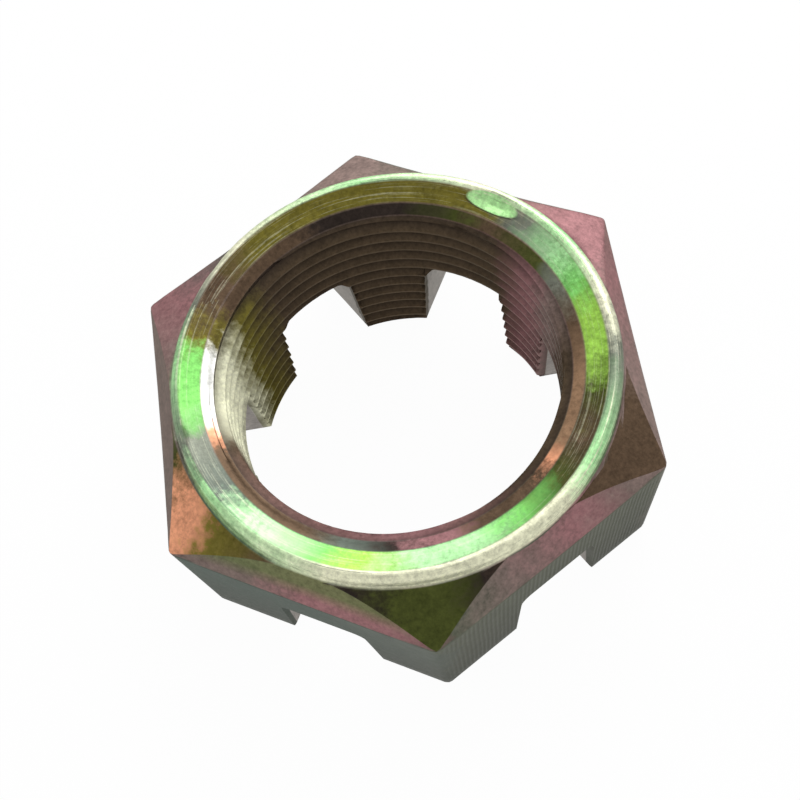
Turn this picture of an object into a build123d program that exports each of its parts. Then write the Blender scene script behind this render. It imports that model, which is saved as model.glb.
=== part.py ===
from build123d import *
from math import atan, cos, degrees, radians
import os

# Castle nut, M30 x 1.5, thin pattern, cold forged, bored, countersunk, threaded and slotted.
# +Z is the thread axis. The slotted end stands on z = 0, the bearing ring is at the top.
# The hexagon has two corners on the X axis, so the slots leave through the flats between them.

# hexagon
across_flats = 41.0          # at the shoulder, the widest place
foot_across_flats = 40.0     # at the slotted end; the flats draw in a little towards it
shoulder_z = 15.4            # height of the six corner points
corner_round = 0.7           # rounding down the six corners
foot_round = 0.5             # rounding where the flats meet the slotted end

# forged top: six flat bevels, and one shallow cone that takes the corners down
bevel_angle = 34.3           # degrees the bevels lean in from the vertical
ring_foot_z = 17.8           # where bevels and cone run into the bearing ring
ring_radius = 18.75          # outside of the bearing ring
nut_height = 19.0            # slotted end to bearing ring

# bearing ring
rim_round = 0.45             # rounding outside the narrow bearing land
land_inner_radius = 17.95    # the land lies between this and the outer rounding

# countersink in two slopes
dish_radius = 16.0           # the shallow dish ends here
dish_depth = 0.75
thread_start_depth = 1.7     # the steeper countersink ends here, at the bore wall

# bore at the minor diameter of M30 x 1.5
minor_diameter = 28.376
tooth_relief = 0.02          # the bore is this much wider, in radius, through the six teeth
exit_chamfer = 0.3

# three cuts straight through the slotted end make six split pin slots
slot_depth = 9.3
slot_floor_width = 7.8
slot_mouth_width = 9.0
slot_floor_round = 1.1
slot_shift = -0.75           # the cuts pass beside the axis by this much

# worked out from the above
apothem = across_flats / 2
foot_apothem = foot_across_flats / 2
corner_radius = apothem / cos(radians(30))
draft_angle = degrees(atan((apothem - foot_apothem) / shoulder_z))
bore_radius = minor_diameter / 2
tooth_bore_radius = bore_radius + tooth_relief
cone_slope = (ring_foot_z - shoulder_z) / (corner_radius - ring_radius)
skirt_radius = 30.0          # the cone is cut out to here, well past the corners
skirt_z = shoulder_z - (skirt_radius - corner_radius) * cone_slope

os.makedirs("parts", exist_ok=True)

with BuildPart() as castle_nut:
    # drafted hexagon, slotted end at the bottom
    with BuildSketch(Plane.XY) as foot:
        RegularPolygon(radius=foot_apothem, side_count=6, major_radius=False)
        fillet(foot.vertices(), radius=corner_round)
    extrude(amount=shoulder_z, taper=-draft_angle)
    # six bevels lean in from the shoulder to the ring
    with BuildSketch(Plane.XY.offset(shoulder_z)) as shoulder:
        RegularPolygon(radius=apothem, side_count=6, major_radius=False)
        fillet(shoulder.vertices(), radius=corner_round)
    extrude(amount=ring_foot_z - shoulder_z, taper=bevel_angle)
    # rounding round the foot
    foot_edges = castle_nut.faces().sort_by(Axis.Z)[0].edges()
    fillet(foot_edges, radius=foot_round)
    # bearing ring
    with BuildSketch(Plane.XY.offset(shoulder_z)) as ring:
        Circle(ring_radius)
    extrude(amount=nut_height - shoulder_z)
    # the shallow cone over the corners, up to the outside of the ring
    with BuildSketch(Plane.XZ) as turned:
        with BuildLine():
            Polyline(
                (0, -1),
                (skirt_radius, -1),
                (skirt_radius, skirt_z),
                (ring_radius, ring_foot_z),
                (ring_radius, nut_height),
                (0, nut_height),
                close=True,
            )
        make_face()
    revolve(axis=Axis.Z, mode=Mode.INTERSECT)
    # bore with its two-slope countersink and the small chamfer where the thread leaves
    with BuildSketch(Plane.XZ) as bore:
        with BuildLine():
            Polyline(
                (0, -1),
                (tooth_bore_radius + exit_chamfer + 1, -1),
                (tooth_bore_radius + exit_chamfer, 0),
                (tooth_bore_radius, exit_chamfer),
                (tooth_bore_radius, slot_depth),
                (bore_radius, slot_depth),
                (bore_radius, nut_height - thread_start_depth),
                (dish_radius, nut_height - dish_depth),
                (land_inner_radius, nut_height),
                (land_inner_radius, nut_height + 1),
                (0, nut_height + 1),
                close=True,
            )
        make_face()
    revolve(axis=Axis.Z, mode=Mode.SUBTRACT)
    # rounding outside the bearing land
    top_edges = castle_nut.edges().filter_by(GeomType.CIRCLE).group_by(Axis.Z)[-1]
    fillet(top_edges.sort_by(SortBy.RADIUS)[-1], radius=rim_round)
    # split pin slots
    for turn in (0, 60, 120):
        cut_plane = Plane.XZ.rotated((0, 0, turn))
        with BuildSketch(cut_plane) as slot:
            with BuildLine():
                Polyline(
                    (slot_shift - slot_mouth_width / 2, 0),
                    (slot_shift - slot_floor_width / 2, slot_depth),
                    (slot_shift + slot_floor_width / 2, slot_depth),
                    (slot_shift + slot_mouth_width / 2, 0),
                    close=True,
                )
            make_face()
            fillet(slot.vertices().group_by(Axis.Y)[-1], radius=slot_floor_round)
        extrude(amount=across_flats, both=True, mode=Mode.SUBTRACT)

castle_nut.part.label = "castle_nut"
export_step(castle_nut.part, "parts/castle_nut.step")

box = castle_nut.part.bounding_box()
print("box", box.min, box.max, "volume mm3", round(castle_nut.part.volume, 1))
print("solids", len(castle_nut.part.solids()), "faces", len(castle_nut.part.faces()))
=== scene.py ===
# %% [markdown]
# # A castle nut, zinc plated and yellow chromated
# The nut is one forged piece of steel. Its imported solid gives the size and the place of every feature:
# hexagon, bevelled top, bearing ring, countersink, bore and six slots. This script keeps that solid for
# the physics and shows a finer mesh in its place, with the real helical thread, rounded edges and dents.

import bpy
from math import asin, atan, cos, exp, hypot, pi, radians, sin, sqrt, tan
from mathutils import Matrix, Vector, noise


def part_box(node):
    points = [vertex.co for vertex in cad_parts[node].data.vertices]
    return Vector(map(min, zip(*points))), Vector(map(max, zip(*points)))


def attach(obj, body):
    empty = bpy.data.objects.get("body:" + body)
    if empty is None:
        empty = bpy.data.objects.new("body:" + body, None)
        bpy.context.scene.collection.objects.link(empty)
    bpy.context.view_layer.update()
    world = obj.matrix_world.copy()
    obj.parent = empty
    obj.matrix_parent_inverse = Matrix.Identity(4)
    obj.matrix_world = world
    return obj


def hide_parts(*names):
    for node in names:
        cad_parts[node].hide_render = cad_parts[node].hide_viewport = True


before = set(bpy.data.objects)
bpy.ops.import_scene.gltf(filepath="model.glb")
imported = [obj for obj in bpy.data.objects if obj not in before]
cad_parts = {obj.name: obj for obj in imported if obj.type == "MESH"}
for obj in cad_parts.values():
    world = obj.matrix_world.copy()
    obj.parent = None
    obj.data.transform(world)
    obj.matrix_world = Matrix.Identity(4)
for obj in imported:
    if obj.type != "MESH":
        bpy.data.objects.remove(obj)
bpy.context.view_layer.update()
low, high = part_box("castle_nut")
MM = 0.001
print("nut from", tuple(low), "to", tuple(high))

# %% [markdown]
# ## Driving sizes
# The same values drive the solid. Everything is in millimetres until the mesh is made. The across-flats
# size and the height are read from the frame, so the mesh follows the solid.

# %% Sizes
APOTHEM = (high.y - low.y) / 2 / MM
HEIGHT = (high.z - low.z) / MM
FOOT_APOTHEM = APOTHEM - 0.5
SHOULDER_Z = HEIGHT - 3.6
CORNER_ROUND = 0.7
FOOT_ROUND = 0.5
RING_FOOT_Z = HEIGHT - 1.2
RING_RADIUS = 18.75
BEVEL = radians(34.3)
CORNER_RADIUS = APOTHEM / cos(radians(30))
CONE_SLOPE = (RING_FOOT_Z - SHOULDER_Z) / (CORNER_RADIUS - RING_RADIUS)
DISH_RADIUS, DISH_Z = 16.0, HEIGHT - 0.75
BORE_RADIUS = 14.188
THREAD_START_Z = HEIGHT - 1.7
SLOT_DEPTH, FLOOR_ROUND = 9.3, 1.1
FLOOR_HALF, MOUTH_HALF = 3.9, 4.5
print("across flats", 2 * APOTHEM, "height", HEIGHT)

# %% [markdown]
# ## The thread
# A metric internal thread has flat crests at the bore and flanks at 60 degrees. Rows of vertices that
# climb with the helix keep every crest and root crisp, where level rows would cut across them. One
# pitch is a short list of (share of the pitch, depth); the loop below repeats it down the bore.

# %% Thread profile
PITCH = 1.5
THREAD_DEPTH = 0.812
ROOT_AZ, ROOT_Z = 300.0, 15.64
PROFILE = [(0.0, 0.10), (0.05, 0), (0.2, 0), (0.25, 0.10), (0.4, 0.52),
           (0.57, 1), (0.68, 1), (0.85, 0.52)]
ROOT_PHASE = 0.625
ROWS_PER_TURN = len(PROFILE)
TURNS = range(-14, 4)
DEBURR = 0.65          # how much of the thread's depth is lost at a tooth's walls
DEBURR_SHARE = 0.05    # the share of a tooth over which it comes back
COUNTERSINK_SLOPE = (DISH_RADIUS - BORE_RADIUS) / (DISH_Z - THREAD_START_Z)
THREAD_TOP_Z = THREAD_START_Z + THREAD_DEPTH / COUNTERSINK_SLOPE
thread_rows = [(turn + share, depth) for turn in TURNS for share, depth in PROFILE]


def thread_z(row, azimuth):
    """Height of a thread row at an azimuth in degrees; it climbs one pitch a turn."""
    return ROOT_Z + PITCH * (thread_rows[row][0] - ROOT_PHASE + (azimuth - ROOT_AZ) / 360)


def thread_radius(z, azimuth, depth=None):
    """Radius of the thread at a height, opened by the countersink above and the small chamfer below."""
    if depth is None:
        phase = ((z - ROOT_Z) / PITCH - (azimuth - ROOT_AZ) / 360 + ROOT_PHASE) % 1
        points = PROFILE + [(1 + PROFILE[0][0], PROFILE[0][1])]
        for (p0, d0), (p1, d1) in zip(points, points[1:]):
            if p0 <= phase <= p1:
                depth = d0 + (d1 - d0) * (phase - p0) / (p1 - p0)
    countersink = BORE_RADIUS + (z - THREAD_START_Z) * COUNTERSINK_SLOPE
    foot_chamfer = BORE_RADIUS + 0.3 - z
    return max(BORE_RADIUS + depth * THREAD_DEPTH, countersink, foot_chamfer)


print("thread rows", len(thread_rows))

# %% [markdown]
# ## Columns round the nut
# The mesh is a grid. A column runs up the outside, over the top and down the bore. Inside a slot the
# columns run along the slot, and on a tooth they fan from one slot wall to the next, so both walls are
# exact. At every radius, a tooth's column stands at the same share of the way between its two walls.

# %% Columns
SLOT_SHIFT = 0.75
SLOTS = [(30, -SLOT_SHIFT), (90, SLOT_SHIFT), (150, SLOT_SHIFT),
         (210, SLOT_SHIFT), (270, -SLOT_SHIFT), (330, -SLOT_SHIFT)]
FILLET_Z = SLOT_DEPTH - FLOOR_ROUND
WALL_HALF = MOUTH_HALF - (MOUTH_HALF - FLOOR_HALF) * FILLET_Z / SLOT_DEPTH
FILLET_STEPS = 5
FLOOR_STEPS = 6
TOOTH_STEPS = 34
CROWDING = 0.045    # draws a tooth's columns together at its walls and its corner


def half_width(z):
    """Half the slot's width at a height; above the wall it stays as at the wall's top."""
    return MOUTH_HALF - (MOUTH_HALF - FLOOR_HALF) * min(z, FILLET_Z) / SLOT_DEPTH


def slot_floor():
    """(offset across the slot, height) of its floor, from one wall to the other."""
    flat = WALL_HALF - FLOOR_ROUND
    arc = [(flat + FLOOR_ROUND * cos(a), FILLET_Z + FLOOR_ROUND * sin(a))
           for a in (radians(90 * i / FILLET_STEPS) for i in range(FILLET_STEPS))]
    line = [(flat - 2 * flat * i / FLOOR_STEPS, SLOT_DEPTH) for i in range(FLOOR_STEPS + 1)]
    return [(-u, z) for u, z in arc] + [(-u, z) for u, z in line] + [(u, z) for u, z in reversed(arc)]


columns = []
for k in range(len(SLOTS)):
    floor = slot_floor()
    for j, (u, z) in enumerate(floor):
        kind = "wall" if j in (0, len(floor) - 1) else "slot"
        columns.append({"kind": kind, "a": k, "b": k, "share": 0, "u": u, "floor": z})
    for j in range(1, TOOTH_STEPS):
        s = j / TOOTH_STEPS
        s = s - CROWDING * sin(4 * pi * s)
        columns.append({"kind": "tooth", "a": k, "b": (k + 1) % 6, "share": s, "u": 0, "floor": 0})


def azimuth_at(column, radius, z):
    """Azimuth in degrees of a column at a radius and height."""
    azimuth, shift = SLOTS[column["a"]]
    if column["kind"] == "slot":
        return azimuth + asin((shift + column["u"]) / radius) * 180 / pi
    if column["kind"] == "wall":
        side = 1 if column["u"] > 0 else -1
        return azimuth + asin((shift + side * half_width(z)) / radius) * 180 / pi
    start = azimuth + asin((shift + half_width(z)) / radius) * 180 / pi
    azimuth, shift = SLOTS[column["b"]]
    if column["b"] == 0:
        azimuth += 360    # the last tooth ends at the first slot, one turn on
    end = azimuth + asin((shift - half_width(z)) / radius) * 180 / pi
    return start + (end - start) * column["share"]


print("columns", len(columns))

# %% [markdown]
# ## The outside
# The six flats draw in a little towards the slotted end. The top has six flat bevels and one shallow cone.
# Whichever is lower is the surface, and a soft minimum of the two gives the crease its small rounding.

# %% Outside surface
SAG = {90: 0.25, 150: 0.42}
PLAIN_SAG = 0.25


def hexagon_radius(azimuth, apothem):
    """Distance from the axis to the hexagon with rounded corners, in a direction in degrees."""
    off = abs(azimuth % 60 - 30)
    limit = atan((apothem - CORNER_ROUND) * tan(radians(30)) / apothem)
    if radians(off) <= limit:
        return apothem / cos(radians(off))
    centre = (apothem - CORNER_ROUND) / cos(radians(30))
    delta = radians(30 - off)
    return centre * cos(delta) + sqrt(max(0, CORNER_ROUND**2 - (centre * sin(delta))**2))


def sag_at(azimuth):
    """How far the bevel's lower edge sags at an azimuth; most in the middle of a flat."""
    flat = 30 + 60 * int((azimuth % 360) // 60)
    return SAG.get(flat, PLAIN_SAG) * max(0, 1 - ((azimuth % 60 - 30) / 27)**2)


def crease_radius(azimuth):
    """Radius where the cone meets the bevel at an azimuth."""
    rise = cos(radians(azimuth % 60 - 30)) / tan(BEVEL)
    drop = SHOULDER_Z - sag_at(azimuth) - RING_FOOT_Z + APOTHEM / tan(BEVEL) - RING_RADIUS * CONE_SLOPE
    return drop / (rise - CONE_SLOPE)


def top_z(radius, azimuth):
    """Height of the bevelled top: the lower of the cone and the bevel."""
    off = abs(azimuth % 60 - 30)
    sag = sag_at(azimuth)
    cone = RING_FOOT_Z + (RING_RADIUS - radius) * CONE_SLOPE
    bevel = SHOULDER_Z - sag + (APOTHEM - radius * cos(radians(off))) / tan(BEVEL)
    soft = 0.05
    return (cone + bevel - sqrt((cone - bevel)**2 + soft**2)) / 2


def outside_point(column, z, inset=0):
    """Point of a column on the drafted hexagon at a height."""
    apothem = FOOT_APOTHEM + (APOTHEM - FOOT_APOTHEM) * min(z / SHOULDER_Z, 1) - inset
    radius = apothem
    for _ in range(5):
        azimuth = azimuth_at(column, radius, z)
        radius = hexagon_radius(azimuth, apothem)
    return radius, azimuth


# %% [markdown]
# ## Damage
# The ring has a crescent nick, a small dent and a torn place. Each is a smooth dip: how deep depends on
# the distance from its centre, along the ring and across it. The ring also sits a little off the axis,
# and two scales of noise give the top the slight unevenness of a forging.

# %% Dents
DENTS = [
    # azimuth, radius, half length in degrees, half width, depth
    (260.5, 17.35, 8.5, 0.8, 0.30),
    (40.5, 18.1, 3.4, 0.5, 0.18),
    (348.5, 18.8, 5.0, 0.4, 0.22),
]
RING_SHIFT = (-0.2, -0.13)
RIPPLES = [(0.45, 0.035), (1.7, 0.012)]    # scale of the noise, height
RIPPLE_ROOM = 0.1    # no ripple ends further than this above the ring


def polar(radius, azimuth, z):
    """A point in metres from millimetres and degrees."""
    return radius * cos(radians(azimuth)) * MM, radius * sin(radians(azimuth)) * MM, z * MM


def worn(radius, azimuth, z):
    """A point with the dents pressed in and the slight unevenness of a forging."""
    for az, r, length, width, depth in DENTS:
        d = ((azimuth - az + 180) % 360 - 180) / length
        q = d * d + ((radius - r) / width)**2
        if q < 1 and z > SHOULDER_Z:
            z -= depth * (1 - q)**1.5
    x, y = radius * cos(radians(azimuth)), radius * sin(radians(azimuth))
    if z > RING_FOOT_Z - 0.1 and radius > DISH_RADIUS - 0.5:
        x += RING_SHIFT[0]
        y += RING_SHIFT[1]
    spot = Vector((x, y, z))
    if z > SHOULDER_Z - 1 and radius > BORE_RADIUS + 1.2:
        z += sum(noise.noise(spot * scale) * height for scale, height in RIPPLES)
    return x * MM, y * MM, min(z, HEIGHT + RIPPLE_ROOM) * MM


# %% [markdown]
# ## The section of one column
# From the foot up the outside, over the bevels, up the ring and down the dish and countersink. The last
# stretch, the thread, is made apart because its rows are clipped where slots, foot and countersink begin.

# %% Section
EDGE_GAP = 0.12    # the last row of a flat stops this far below the bevel
ACROSS_STEPS = 5
FOOT_ROUND_ANGLES = (0, 30, 60, 90)
TOOTH_HEIGHTS = (2.0, 3.6, 5.2, 6.8)
FLAT_SHARES = (0.0, 0.2, 0.4, 0.6, 0.8, 0.93, 1.0)
BEVEL_SHARES = (0.12, 0.3, 0.5, 0.7, 0.86, 0.95, 1.0)
CONE_SHARES = (0.05, 0.14, 0.28, 0.42, 0.56, 0.7, 0.84, 1.0)
RING_SECTION = [(18.86, -1.16), (18.77, -1.0), (18.74, -0.75), (18.68, -0.48), (18.55, -0.24),
                (18.38, -0.09), (18.2, -0.01), (18.02, 0.0), (17.86, -0.03), (17.68, -0.10),
                (17.4, -0.24), (17.05, -0.40), (16.7, -0.53), (16.4, -0.63), (16.18, -0.69),
                (16.02, -0.76), (15.9, -0.82), (15.6, -0.97), (15.3, -1.12)]


def upper_section(column):
    """Points of a column from the slot floor or wall top, up and over to the countersink."""
    start = column["floor"] if column["kind"] == "slot" else FILLET_Z
    edge_r, edge_az = outside_point(column, SHOULDER_Z)
    edge_z = top_z(edge_r, edge_az)
    points = []
    for share in FLAT_SHARES:
        z = start + (edge_z - EDGE_GAP - start) * share
        r, az = outside_point(column, z)
        points.append(worn(r, az, z))
    foot_r = RING_SECTION[0][0] + 0.08
    crease_r = edge_r
    for _ in range(3):
        az = azimuth_at(column, crease_r, start)
        crease_r = min(max(crease_radius(az), foot_r + 0.05), edge_r - 0.06)
    spans = [(edge_r, crease_r, share) for share in BEVEL_SHARES]
    spans += [(crease_r, foot_r, share) for share in CONE_SHARES]
    for outer_r, inner_r, share in spans:
        r = outer_r + (inner_r - outer_r) * share
        az = azimuth_at(column, r, start)
        points.append(worn(r, az, top_z(r, az)))
    for r, drop in RING_SECTION:
        points.append(worn(r, azimuth_at(column, r, start), HEIGHT + drop))
    return points


def lower_section(column):
    """Points of a tooth column from the bore's edge at the foot, out and up to the wall top."""
    edge_r, _ = outside_point(column, 0, FOOT_ROUND)
    inner_r = thread_radius(0, azimuth_at(column, BORE_RADIUS, 0))
    points = []
    for i in range(1, ACROSS_STEPS):
        r = inner_r + (edge_r - inner_r) * i / ACROSS_STEPS
        points.append(polar(r, azimuth_at(column, r, 0), 0))
    for a in FOOT_ROUND_ANGLES:
        inset = FOOT_ROUND * (1 - sin(radians(a)))
        z = FOOT_ROUND * (1 - cos(radians(a)))
        r, az = outside_point(column, z, inset)
        points.append(polar(r, az, z))
    for z in TOOTH_HEIGHTS:
        r, az = outside_point(column, z)
        points.append(polar(r, az, z))
    return points


# %% [markdown]
# ## Building the grid
# Every column keeps the index of its vertices. Thread rows below the clip height share one vertex, and
# so do those above it, which folds the spare quads away. The last column meets the first one pitch up.

# %% Mesh
vertices, faces = [], []


def add_point(point):
    vertices.append(point)
    return len(vertices) - 1


def add_thread(column, bottom):
    """Vertices of a column's thread between two heights, and the row numbers of its ends."""
    az = azimuth_at(column, BORE_RADIUS, FILLET_Z)
    heights = [thread_z(i, azimuth_at(column, BORE_RADIUS, min(max(thread_z(i, az), 0), HEIGHT)))
               for i in range(len(thread_rows))]
    first = min(range(len(heights)), key=lambda i: abs(heights[i] - bottom))
    last = min(range(len(heights)), key=lambda i: abs(heights[i] - THREAD_TOP_Z))
    split = min(range(len(heights)), key=lambda i: abs(heights[i] - FILLET_Z))
    index = {}
    for i in range(first, last + 1):
        z = heights[i]
        depth = thread_rows[i][1]
        if i == first:
            z, depth = bottom, None
        if i == last:
            z, depth = THREAD_TOP_Z, 1
        if i == split and column["kind"] == "wall":
            z, depth = FILLET_Z, None
        a = azimuth_at(column, BORE_RADIUS + 0.4, z)
        radius = thread_radius(z, a, depth)
        if column["kind"] != "slot" and 0.4 < z < SLOT_DEPTH:
            edge = min(column["share"], 1 - column["share"])
            radius = BORE_RADIUS + (radius - BORE_RADIUS) * (1 - DEBURR * exp(-edge / DEBURR_SHARE))
        index[i] = add_point(polar(radius, a, z))
    return index, first, last, split


for column in columns:
    column["upper"] = [add_point(p) for p in upper_section(column)]
    bottom = column["floor"] if column["kind"] == "slot" else 0
    column["thread"], column["first"], column["last"], column["split"] = add_thread(column, bottom)
    if column["kind"] != "slot":
        column["lower"] = [add_point(p) for p in lower_section(column)]
    if column["kind"] != "tooth":
        z = column["floor"] if column["kind"] == "slot" else FILLET_Z
        outer_r, _ = outside_point(column, z)
        inner_row = column["first"] if column["kind"] == "slot" else column["split"]
        inner_r = hypot(*vertices[column["thread"][inner_row]][:2]) / MM
        column["across"] = []
        for i in range(1, ACROSS_STEPS):
            r = inner_r + (outer_r - inner_r) * i / ACROSS_STEPS
            column["across"].append(add_point(polar(r, azimuth_at(column, r, z), z)))


def thread_index(column, row, low_row):
    """The vertex of a thread row, clipped to the rows that the column has."""
    return column["thread"][min(max(row, low_row), column["last"])]


def add_face(*indices):
    clean = [v for i, v in enumerate(indices) if v != indices[i - 1]]
    if len(set(clean)) > 2:
        faces.append(clean)


def strip(a, b):
    for i in range(len(a) - 1):
        add_face(a[i], b[i], b[i + 1], a[i + 1])


for number, column in enumerate(columns):
    neighbour = columns[(number + 1) % len(columns)]
    turn_on = ROWS_PER_TURN if number + 1 == len(columns) else 0
    in_slot = "tooth" not in (column["kind"], neighbour["kind"])
    low_a = column["split"] if in_slot and column["kind"] == "wall" else column["first"]
    low_b = neighbour["split"] if in_slot and neighbour["kind"] == "wall" else neighbour["first"]
    strip(column["upper"], neighbour["upper"])
    start = -ROWS_PER_TURN if turn_on else 0
    for i in range(start, len(thread_rows)):
        add_face(thread_index(column, i, low_a), thread_index(column, i + 1, low_a),
                 thread_index(neighbour, i + 1 + turn_on, low_b),
                 thread_index(neighbour, i + turn_on, low_b))
    add_face(column["upper"][-1], neighbour["upper"][-1],
             neighbour["thread"][neighbour["last"]], column["thread"][column["last"]])
    if in_slot:
        strip([column["thread"][low_a]] + column["across"] + [column["upper"][0]],
              [neighbour["thread"][low_b]] + neighbour["across"] + [neighbour["upper"][0]])
    else:
        strip([column["thread"][low_a]] + column["lower"] + [column["upper"][0]],
              [neighbour["thread"][low_b]] + neighbour["lower"] + [neighbour["upper"][0]])

for column in columns:
    if column["kind"] == "wall":
        bore = [column["thread"][i] for i in range(column["split"], column["first"] - 1, -1)]
        ring = bore + column["lower"] + [column["upper"][0]] + column["across"][::-1]
        faces.append(ring if column["u"] > 0 else ring[::-1])

mesh = bpy.data.meshes.new("castle_nut_forging")
mesh.from_pydata(vertices, [], faces)
print("vertices", len(vertices), "faces", len(faces), "valid", not mesh.validate())

# %% [markdown]
# ## Shading the mesh smooth, with crisp edges
# Normals are turned outward, and every edge bent by more than 38 degrees is marked sharp.

# %% Sharp edges
import bmesh

SHARP = radians(38)
work = bmesh.new()
work.from_mesh(mesh)
bmesh.ops.recalc_face_normals(work, faces=work.faces)
open_edges = sum(1 for e in work.edges if not e.is_manifold)
for face in work.faces:
    face.smooth = len(face.verts) < 6
for edge in work.edges:
    edge.smooth = len(edge.link_faces) == 2 and edge.calc_face_angle(0) < SHARP
print("open edges", open_edges, "volume mm3", round(work.calc_volume() / MM**3))
work.to_mesh(mesh)
work.free()
nut = bpy.data.objects.new("castle_nut_forging", mesh)
bpy.context.scene.collection.objects.link(nut)
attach(nut, "root")
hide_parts("castle_nut")

# %% [markdown]
# ## Shader maths as Python
# A small class wraps a socket, so that a mask can be written as an expression. Values make Math nodes.

# %% Shader helper


class Value:
    """One output socket, with operators that add Math nodes."""

    def __init__(self, shader, socket):
        self.shader, self.socket = shader, socket

    def output(self, name):
        """Another output of the same node."""
        return Value(self.shader, self.socket.node.outputs[name])

    def maths(self, operation, *others, clamp=False):
        settings = {"operation": operation, "use_clamp": clamp}
        inputs = {i: v for i, v in enumerate((self, *others))}
        return self.shader.node("ShaderNodeMath", settings, inputs)

    def __add__(self, other):
        return self.maths("ADD", other)

    def __sub__(self, other):
        return self.maths("SUBTRACT", other)

    def __rsub__(self, other):
        return self.shader.node("ShaderNodeMath", {"operation": "SUBTRACT"}, {0: other, 1: self})

    def __mul__(self, other):
        return self.maths("MULTIPLY", other)

    def __truediv__(self, other):
        return self.maths("DIVIDE", other)

    __radd__, __rmul__ = __add__, __mul__

    def above(self, edge, soft):
        """A mask that rises from 0 to 1 as the value passes an edge."""
        return ((self - (edge - soft)) / (2 * soft)).maths("ADD", 0, clamp=True)

    def between(self, start, end, soft):
        return self.above(start, soft) * (1 - self.above(end, soft))


class Shader:
    """A material or a world under construction: one method makes every node."""

    def __init__(self, owner, surface="Principled BSDF"):
        owner.use_nodes = True
        self.owner = owner
        self.tree = owner.node_tree
        self.surface = self.tree.nodes[surface]

    def node(self, kind, settings=None, inputs=None, output=0):
        node = self.tree.nodes.new(kind)
        for name, value in (settings or {}).items():
            if name == "stops":
                self.fill_ramp(node.color_ramp, value)
            else:
                setattr(node, name, value)
        for name, value in (inputs or {}).items():
            if isinstance(value, Value):
                self.tree.links.new(value.socket, node.inputs[name])
            else:
                node.inputs[name].default_value = value
        return Value(self, node.outputs[output])

    def fill_ramp(self, ramp, stops):
        while len(ramp.elements) > 1:
            ramp.elements.remove(ramp.elements[-1])
        for i, (place, colour) in enumerate(stops):
            element = ramp.elements[0] if i == 0 else ramp.elements.new(place)
            element.position = place
            element.color = colour

    def mix(self, factor, a, b, blend="MIX"):
        settings = {"data_type": "RGBA", "blend_type": blend}
        return self.node("ShaderNodeMix", settings, {0: factor, 6: a, 7: b}, output=2)

    def noise(self, vector, scale, detail=2.0, rough=0.5):
        return self.node("ShaderNodeTexNoise", {}, {"Vector": vector, "Scale": scale, "Detail": detail,
                                                    "Roughness": rough})

    def set(self, **sockets):
        for name, value in sockets.items():
            socket = self.surface.inputs[name.replace("_", " ")]
            if isinstance(value, Value):
                self.tree.links.new(value.socket, socket)
            else:
                socket.default_value = value


def colour(red, green, blue):
    """A colour given as 0 to 255 on a screen, for the linear values that shaders use."""
    screen = (red / 255, green / 255, blue / 255)
    linear = [c / 12.92 if c <= 0.04045 else ((c + 0.055) / 1.055)**2.4 for c in screen]
    return (*linear, 1)


# %% [markdown]
# ## Chromate colours
# A yellow chromate film is so thin that it shows interference colours, which run from straw through
# olive, rose and green as its thickness changes. Each zone of the nut has its own run of colours round
# the axis, given in degrees, partly because the film drained differently off each face, and partly as
# painted light: a painted highlight on the countersink and the thread, painted reflections that make the
# near side of the dish and ring paler, and painted shade on the far side of the countersink.

# %% Film colours
OLIVE = colour(112, 104, 42)
BROWN = colour(92, 74, 58)
DARK = colour(50, 42, 38)
MINT = colour(168, 222, 158)
GREEN = colour(122, 196, 100)
LIME = colour(156, 204, 84)
CREAM = colour(226, 226, 196)
ROSE = colour(150, 108, 110)
MAUVE = colour(138, 118, 112)
STEEL = colour(120, 124, 112)
SLATE = colour(88, 96, 88)
UMBER = colour(84, 70, 54)
TEAL = colour(66, 84, 76)
SAGE = colour(90, 94, 80)
DUSK = colour(122, 106, 100)
FERN = colour(104, 112, 74)
SHADE = colour(46, 48, 44)
MOSS = colour(72, 78, 36)
TAN = colour(146, 116, 90)
PEACH = colour(226, 158, 122)
# The white of the countersink's painted highlight.
HIGHLIGHT_WHITE = colour(246, 246, 240)
ASH = colour(158, 152, 148)
NICK_GREEN = colour(176, 228, 156)

# On the near side of the dish, from 118 to 138 degrees, the pale mint is partly the film's green and
# partly a painted reflection.
DISH_RUN = [(0, BROWN), (10, OLIVE), (17, GREEN), (32, GREEN), (42, STEEL), (62, SLATE), (76, MINT),
            (92, GREEN), (104, LIME), (118, MINT), (138, MINT), (150, GREEN), (161, MOSS), (176, BROWN),
            (190, MOSS), (202, LIME), (214, LIME), (226, GREEN), (238, MINT), (249, STEEL), (260, OLIVE),
            (300, OLIVE), (335, OLIVE), (350, BROWN)]
# In the countersink's run, the white from 14 to 36 degrees is a painted highlight, and the dark from 288
# to 316 degrees is painted shade on the far side.
COUNTERSINK_RUN = [(0, BROWN), (8, OLIVE), (14, HIGHLIGHT_WHITE), (36, HIGHLIGHT_WHITE), (42, PEACH), (48, BROWN), (84, BROWN),
                   (100, SLATE), (112, DARK), (122, ROSE), (132, ROSE), (140, BROWN), (156, BROWN),
                   (165, PEACH), (174, TAN), (196, TAN), (214, BROWN), (230, STEEL), (240, MOSS),
                   (258, BROWN), (270, MOSS), (288, DARK), (316, DARK), (328, BROWN), (350, BROWN)]
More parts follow.
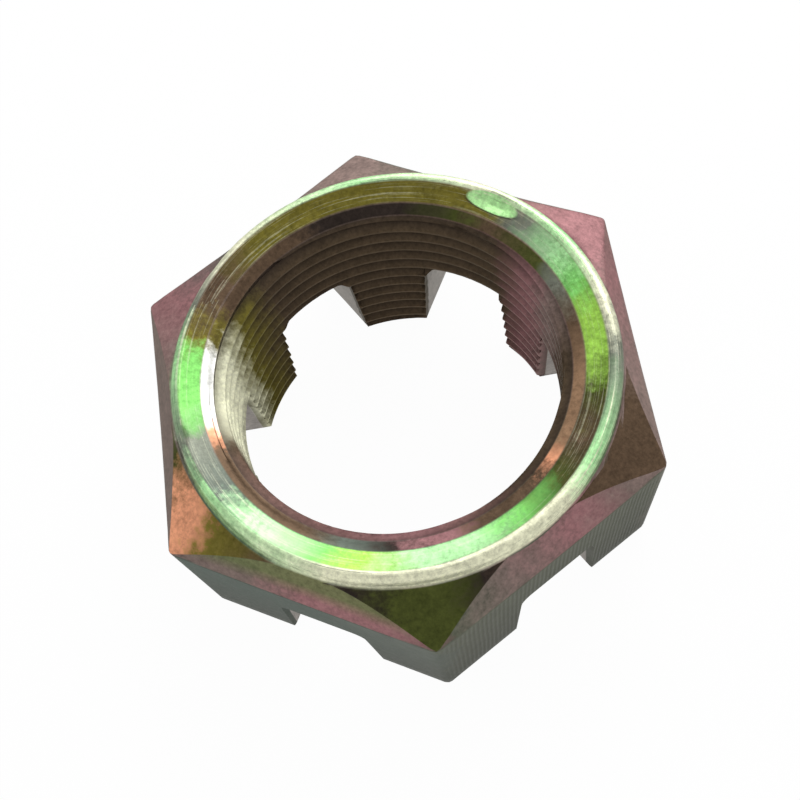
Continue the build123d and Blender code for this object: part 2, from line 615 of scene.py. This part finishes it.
# On the near side of the ring, from 100 to 158 degrees, the cream is partly the film's colour and partly a
# painted highlight.
RIM_RUN = [(0, STEEL), (20, MINT), (42, STEEL), (60, MINT), (100, CREAM), (130, CREAM), (158, CREAM),
           (172, MINT), (200, STEEL), (218, CREAM), (240, MINT), (262, CREAM), (300, MINT), (340, CREAM)]
FACET_RUN = [(0, ROSE), (18, MAUVE), (42, MOSS), (54, PEACH), (60, PEACH), (65, OLIVE), (84, BROWN),
             (104, DARK), (113, MOSS), (127, MOSS), (135, DARK), (160, BROWN), (192, BROWN), (215, DUSK),
             (232, ROSE), (248, ROSE), (275, SAGE), (296, MAUVE), (310, MAUVE), (335, SLATE)]
STRIP_RUN = [(0, DUSK), (30, DUSK), (58, DUSK), (75, DUSK), (90, ROSE), (112, ROSE), (124, SAGE),
             (140, DUSK), (160, ROSE), (172, DUSK), (195, MAUVE), (225, ROSE), (250, DUSK), (300, SAGE)]
FLAT_RUN = [(0, DUSK), (40, DUSK), (60, TEAL), (95, TEAL), (118, SLATE), (124, SAGE), (150, SAGE),
            (178, SAGE), (190, DUSK), (240, ROSE), (300, DUSK)]
# The cream from 14 to 34 degrees is a painted highlight, beside the countersink's.
THREAD_RUN = [(0, OLIVE), (14, CREAM), (34, CREAM), (46, UMBER), (120, ROSE), (160, UMBER), (205, UMBER),
              (226, MAUVE), (240, ROSE), (252, UMBER), (270, UMBER), (300, UMBER), (340, UMBER)]


def around(shader, angle, run):
    """A colour that changes round the axis, closed on itself."""
    stops = [(degrees / 360, paint) for degrees, paint in run] + [(1.0, run[0][1])]
    return shader.node("ShaderNodeValToRGB", {"stops": stops}, {0: angle})


# %% [markdown]
# ## The plating material
# Masks from the radius, the height and the slope of the surface choose the zone, and each zone takes its
# own run of colours. Thread roots are darker than crests, and the nick has a dark inner edge.

# %% Plating
plating = Shader(bpy.data.materials.new("yellow_chromate_zinc"))
place = plating.node("ShaderNodeTexCoord", output="Object")
axes = plating.node("ShaderNodeSeparateXYZ", {}, {0: place})
x, y, z = (axes.output(i) * (1 / MM) for i in range(3))
normal = plating.node("ShaderNodeNewGeometry", output="True Normal")
lift = plating.node("ShaderNodeSeparateXYZ", {}, {0: normal}, output=2)
radius = (x * x + y * y).maths("SQRT")
speckle = plating.noise(place, 2600.0, 3.0, 0.7)
mottle = plating.noise(place, 700.0, 3.0, 0.6)
patch = plating.noise(place, 160.0, 3.0, 0.6)
turned = y.maths("ARCTAN2", x) * (0.5 / pi) + 1
angle = (turned + (patch - 0.5) * 0.05 + (mottle - 0.5) * 0.04 + (speckle - 0.5) * 0.02).maths("FRACT")

ROOT_RADIUS, FLAT_INNER = 15.02, 19.9
RIM_INNER, RIM_OUTER = 17.75, 18.95
on_thread = (1 - radius.above(ROOT_RADIUS, 0.05)) * (1 - z.above(THREAD_TOP_Z, 0.05))
on_countersink = (1 - radius.above(DISH_RADIUS - 0.05, 0.08)) * (1 - on_thread)
on_dish = radius.between(DISH_RADIUS, RIM_INNER, 0.1) * z.above(RING_FOOT_Z, 0.1)
on_rim = radius.between(RIM_INNER, RIM_OUTER, 0.08) * z.above(RING_FOOT_Z, 0.15)
on_strip = lift.between(0.25, 0.74, 0.06) * z.above(SHOULDER_Z - 0.8, 0.2)
on_facet = lift.above(0.74, 0.05) * radius.above(18.85, 0.05)
in_slot = (1 - z.above(SLOT_DEPTH + 0.05, 0.05)) * radius.between(15.05, FLAT_INNER, 0.03)

base = around(plating, angle, FLAT_RUN)
# Painted shade: the flats grow darker towards the foot.
base = plating.mix((1 - z.above(7.0, 7.0)) * 0.8, base, SHADE)
strips = around(plating, angle, STRIP_RUN)
green_band = z.above(SHOULDER_Z + 0.9, 0.5) * (angle * 360).between(60.0, 118.0, 8.0)
strips = plating.mix(green_band * 0.9, strips, FERN)
base = plating.mix(on_strip, base, strips)
base = plating.mix(on_facet, base, around(plating, angle, FACET_RUN))
base = plating.mix(on_rim, base, around(plating, angle, RIM_RUN))
base = plating.mix(on_dish, base, around(plating, angle, DISH_RUN))
base = plating.mix(on_countersink, base, around(plating, angle, COUNTERSINK_RUN))
base = plating.mix(in_slot, base, ASH)
root_shadow = radius.above(BORE_RADIUS + 0.35, 0.35) * 0.6
threads = plating.mix(root_shadow, around(plating, angle, THREAD_RUN), DARK)
base = plating.mix(on_thread, base, threads)
nick_az, nick_r, nick_length, nick_width, _ = DENTS[0]
nick_x = (turned.maths("FRACT") * 360 - nick_az) * (1 / nick_length)
nick_y = (radius - nick_r) * (1 / nick_width)
inside_nick = 1 - (nick_x * nick_x + nick_y * nick_y)
base = plating.mix(inside_nick.above(-0.15, 0.1) * (1 - nick_y.above(-0.3, 0.3)) * 0.8, base, DARK)
base = plating.mix(inside_nick.above(0.12, 0.1), base, NICK_GREEN)
print("nodes so far", len(plating.tree.nodes))

# %% [markdown]
# ## Turning marks and grain
# Noise that is stretched round the axis looks like the marks of a lathe tool. A finer noise darkens and
# lightens the plating in grains, and a sine wave across one flat makes the ribs that the die left there.

# %% Turning marks and grain
along = plating.node("ShaderNodeCombineXYZ", {}, {0: radius * 6.0, 1: angle * 9.0, 2: z * 6.0})
marks = plating.noise(along, 1.0, 4.0, 0.7)
light_marks = marks.above(0.60, 0.06)
dark_marks = 1 - marks.above(0.38, 0.05)
base = plating.mix(light_marks * (on_rim * 0.8 + on_dish * 0.3), base, CREAM)
base = plating.mix(dark_marks * (on_rim * 0.7 + on_dish * 0.1), base, SLATE)
grain = (speckle - 0.5) * 1.3 + (mottle - 0.5) * 0.7 + 1
grey = plating.node("ShaderNodeCombineColor", {}, {0: grain, 1: grain, 2: grain})
base = plating.mix(1.0, base, grey, "MULTIPLY")

RIBBED_FLAT, RIB_PITCH = 150.0, 0.45
side = (angle * 360).between(RIBBED_FLAT - 30, RIBBED_FLAT + 30, 3.0)
side = side * (1 - z.above(SHOULDER_Z - 1.0, 0.6)) * radius.above(FLAT_INNER, 0.05)
heading = radians(RIBBED_FLAT - 90)
across = x * cos(heading) + y * sin(heading)
ribs = (across * (2 * pi / RIB_PITCH) + (patch - 0.5) * 5.0).maths("SINE") * side
bump_height = speckle * 0.35 + marks * (on_rim + on_dish * 0.5) * 0.8 + ribs * 0.6
bump = plating.node("ShaderNodeBump", {}, {"Strength": 0.35, "Distance": 0.00012, "Height": bump_height})
base = plating.mix(ribs.above(0.3, 0.7) * side * 0.22, base, DARK)
plating.set(Base_Color=base, Metallic=0.7, Roughness=speckle * 0.25 + 0.3, Normal=bump,
            Specular_IOR_Level=0.25, Specular_Tint=(0.5, 0.5, 0.46, 1))
mesh.materials.clear()
mesh.materials.append(plating.owner)
print("plating nodes", len(plating.tree.nodes))

# %% [markdown]
# ## Floor and light
# A pale floor that the camera sees as white keeps only the nut's shadow. The world is a plain soft
# white, so every colour renders close to the way it is written, and one large lamp shapes the form.

# %% Floor
floor_mesh = bpy.data.meshes.new("floor")
REACH = 3.0
FLOOR_DROP = 0.00002
floor_mesh.from_pydata([(-REACH, -REACH, 0), (REACH, -REACH, 0), (REACH, REACH, 0), (-REACH, REACH, 0)],
                       [], [(0, 1, 2, 3)])
floor = bpy.data.objects.new("floor", floor_mesh)
bpy.context.scene.collection.objects.link(floor)
floor.location.z = low.z - FLOOR_DROP
PAPER_WHITE = colour(235, 235, 235)
paper = Shader(bpy.data.materials.new("white_floor"))
paper.set(Base_Color=PAPER_WHITE, Roughness=0.9)
rays = paper.node("ShaderNodeLightPath", output="Is Camera Ray")
seen = rays + rays.output("Is Glossy Ray")
seen = (seen + rays.output("Is Transmission Ray")).maths("ADD", 0, clamp=True)
glow = paper.node("ShaderNodeEmission", {}, {"Strength": 1.0})
lit = Value(paper, paper.surface.outputs[0])
SHADOW_SHARE = 0.03
blend = paper.node("ShaderNodeMixShader", {}, {0: seen * (1 - SHADOW_SHARE), 1: lit, 2: glow})
paper.tree.links.new(blend.socket, paper.tree.nodes["Material Output"].inputs[0])
floor_mesh.materials.append(paper.owner)
print("floor at", floor.location.z)

# %% [markdown]
# ## World and lamp
# The sky is white, and a little dimmer overhead. The one lamp is a broad soft panel beyond the nut, and
# the slopes that face it shine.

# %% World and lamp
world = bpy.data.worlds.new("soft_white")
bpy.context.scene.world = world
sky = Shader(world, "Background")
direction = sky.node("ShaderNodeTexCoord", output="Generated")
upward = sky.node("ShaderNodeSeparateXYZ", {}, {0: direction}, output=2)
LOW_SKY, HIGH_SKY = 0.85, 0.6
span = {0: upward, "From Min": 0.3, "From Max": 1.0, "To Min": LOW_SKY, "To Max": HIGH_SKY}
sky.set(Color=(1, 1, 1, 1), Strength=sky.node("ShaderNodeMapRange", {}, span))


def add_lamp(name, place, size, watts):
    """A square area lamp that points at the nut."""
    lamp = bpy.data.lights.new(name, "AREA")
    lamp.size = size
    lamp.energy = watts
    body = bpy.data.objects.new(name, lamp)
    body.location = place
    body.rotation_euler = (-Vector(place)).to_track_quat("-Z", "Y").to_euler()
    bpy.context.scene.collection.objects.link(body)


add_lamp("window_light", place=(0.02, -0.27, 0.22), size=0.28, watts=0.9)
bpy.context.scene.view_settings.view_transform = "Standard"
print("sky strength", LOW_SKY, "to", HIGH_SKY)

# %% [markdown]
# ## Camera
# The camera looks down on the bearing ring from one side, close enough for clear perspective.

# %% Camera
camera_data = bpy.data.cameras.new("camera")
camera = bpy.data.objects.new("camera", camera_data)
bpy.context.scene.collection.objects.link(camera)
view = Vector((0.26109, -0.28631, -0.92188)).normalized()
up = Vector((0.30593, -0.88123, 0.36033))
right = view.cross(up).normalized()
up = right.cross(view)
rotation = Matrix((right, up, -view)).transposed()
eye = Vector((-25.21, 36.18, 103.76)) * MM
camera.matrix_world = Matrix.Translation(eye) @ rotation.to_4x4()
camera_data.lens = 52.2
camera_data.shift_x = 0.055
camera_data.shift_y = 0.091
camera_data.clip_start = 0.005
bpy.context.scene.camera = camera
print("camera at", tuple(camera.location), "lens", camera_data.lens)
